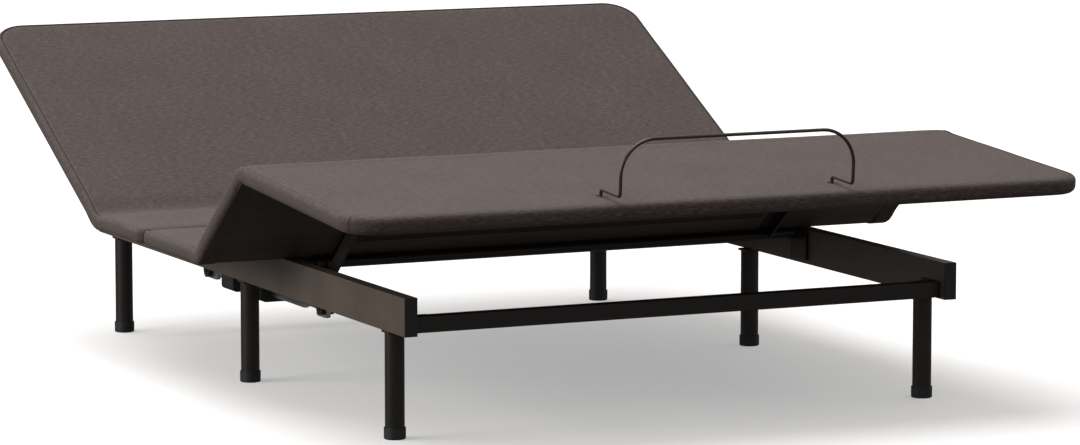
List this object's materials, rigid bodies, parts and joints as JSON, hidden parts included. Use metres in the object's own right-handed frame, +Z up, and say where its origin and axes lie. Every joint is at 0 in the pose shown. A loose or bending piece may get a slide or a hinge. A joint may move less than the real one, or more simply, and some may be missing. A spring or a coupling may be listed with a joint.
{
  "type": "adjustable bed base",
  "caption": "Adjustable bed base: padded fabric deck in hinged sections that lift at the head, thigh and foot on a legged steel frame, with linear actuators and a mattress retainer bar.",
  "frame": {"origin": "on the floor under the middle of the bed at its rest pose", "axes": "+Z up, +Y from the foot end to the head end, +X to the right seen from the foot end"},
  "size_m": [1.4, 1.8698, 0.5902],
  "materials": {
    "cover_fabric": "matte",
    "dust_fabric": "matte",
    "board_wood": "matte",
    "rail_paint": "satin",
    "frame_paint": "satin",
    "bar_paint": "satin",
    "black_plastic": "matte",
    "nylon": "satin",
    "zinc_steel": "satin",
    "drawn_aluminium": "satin"
  },
  "bodies": {
    "base": {"actuator_bracket": "zinc_steel", "control_box": "black_plastic", "corner_angles": "frame_paint", "foot_actuator_housing": "black_plastic", "foot_actuator_motor": "black_plastic", "foot_actuator_tube": "drawn_aluminium", "foot_cross_rail": "frame_paint", "frame_bolts": "zinc_steel", "head_actuator_housing": "black_plastic", "head_actuator_motor": "black_plastic", "head_actuator_tube": "drawn_aluminium", "head_cross_rail": "frame_paint", "left_side_rail": "rail_paint", "leg_floor_caps": "black_plastic", "leg_foot_left": "frame_paint", "leg_foot_right": "frame_paint", "leg_head_left": "frame_paint", "leg_head_right": "frame_paint", "leg_mid_left": "frame_paint", "leg_mid_right": "frame_paint", "leg_plates": "frame_paint", "link_stud": "frame_paint", "mid_cross_beam": "frame_paint", "pivot_brackets": "frame_paint", "pivot_bushes": "nylon", "power_inlet": "black_plastic", "power_supply": "black_plastic", "rail_end_caps": "black_plastic", "right_side_rail": "rail_paint", "seat_cross_bars": "frame_paint", "seat_foot_board": "board_wood", "seat_foot_pad": "cover_fabric", "seat_head_board": "board_wood", "seat_head_pad": "cover_fabric"},
    "foot_actuator_rod": {"foot_actuator_rod": "zinc_steel"},
    "foot_section": {"foot_board": "board_wood", "foot_dust_cover": "dust_fabric", "foot_frame": "frame_paint", "foot_pad": "cover_fabric", "knee_hinge_foot_leaves": "zinc_steel", "link_lug": "frame_paint", "retainer_sockets": "nylon"},
    "foot_link": {"foot_link": "frame_paint"},
    "head_actuator_rod": {"head_actuator_rod": "zinc_steel"},
    "head_section": {"head_board": "board_wood", "head_crank": "frame_paint", "head_dust_cover": "dust_fabric", "head_frame": "frame_paint", "head_pad": "cover_fabric", "head_pivot_tube": "frame_paint"},
    "thigh_section": {"knee_hinge_pins": "zinc_steel", "knee_hinge_thigh_leaves": "zinc_steel", "thigh_board": "board_wood", "thigh_crank": "frame_paint", "thigh_dust_cover": "dust_fabric", "thigh_frame": "frame_paint", "thigh_pad": "cover_fabric", "thigh_pivot_tube": "frame_paint"},
    "retainer_bar": {"retainer_bar": "bar_paint"}
  },
  "joints": [
    {"name": "head_lift", "type": "hinge", "parent": "base", "child": "head_section", "pos_m": [0, 0.3284, 0.243], "axis": [1, 0, 0], "range_deg": [-27.1, 32.9]},
    {"name": "thigh_lift", "type": "hinge", "parent": "base", "child": "thigh_section", "pos_m": [0, -0.2159, 0.243], "axis": [-1, 0, 0], "range_deg": [-38.2, 6.8]},
    {"name": "knee_bend", "type": "hinge", "parent": "thigh_section", "child": "foot_section", "pos_m": [0, -0.42671, 0.41462], "axis": [1, 0, 0], "range_deg": [-42.2, 7.6]},
    {"name": "head_rod_slide", "type": "slide", "parent": "base", "child": "head_actuator_rod", "axis": [0, 1, 0], "range_m": [-0.0363, 0.044]},
    {"name": "foot_rod_slide", "type": "slide", "parent": "base", "child": "foot_actuator_rod", "axis": [0, -1, 0], "range_m": [-0.0525, 0.0095]},
    {"name": "link_swing", "type": "hinge", "parent": "base", "child": "foot_link", "pos_m": [-0.49, -0.3204, 0.2289], "axis": [-1, 0, 0], "range_deg": [-39.5, 7.1]},
    {"name": "retainer_bar_lift", "type": "slide", "parent": "foot_section", "child": "retainer_bar", "axis": [0, -0.068, 0.9977], "range_m": [0, 0.028]}
  ],
  "couplings": [
    {"joint": "knee_bend", "follows": "thigh_lift", "ratio": 1.102},
    {"joint": "head_rod_slide", "follows": "head_lift", "m_per_rad": 0.0763},
    {"joint": "foot_rod_slide", "follows": "thigh_lift", "m_per_rad": 0.0783},
    {"joint": "link_swing", "follows": "thigh_lift", "ratio": 1.0265}
  ]
}
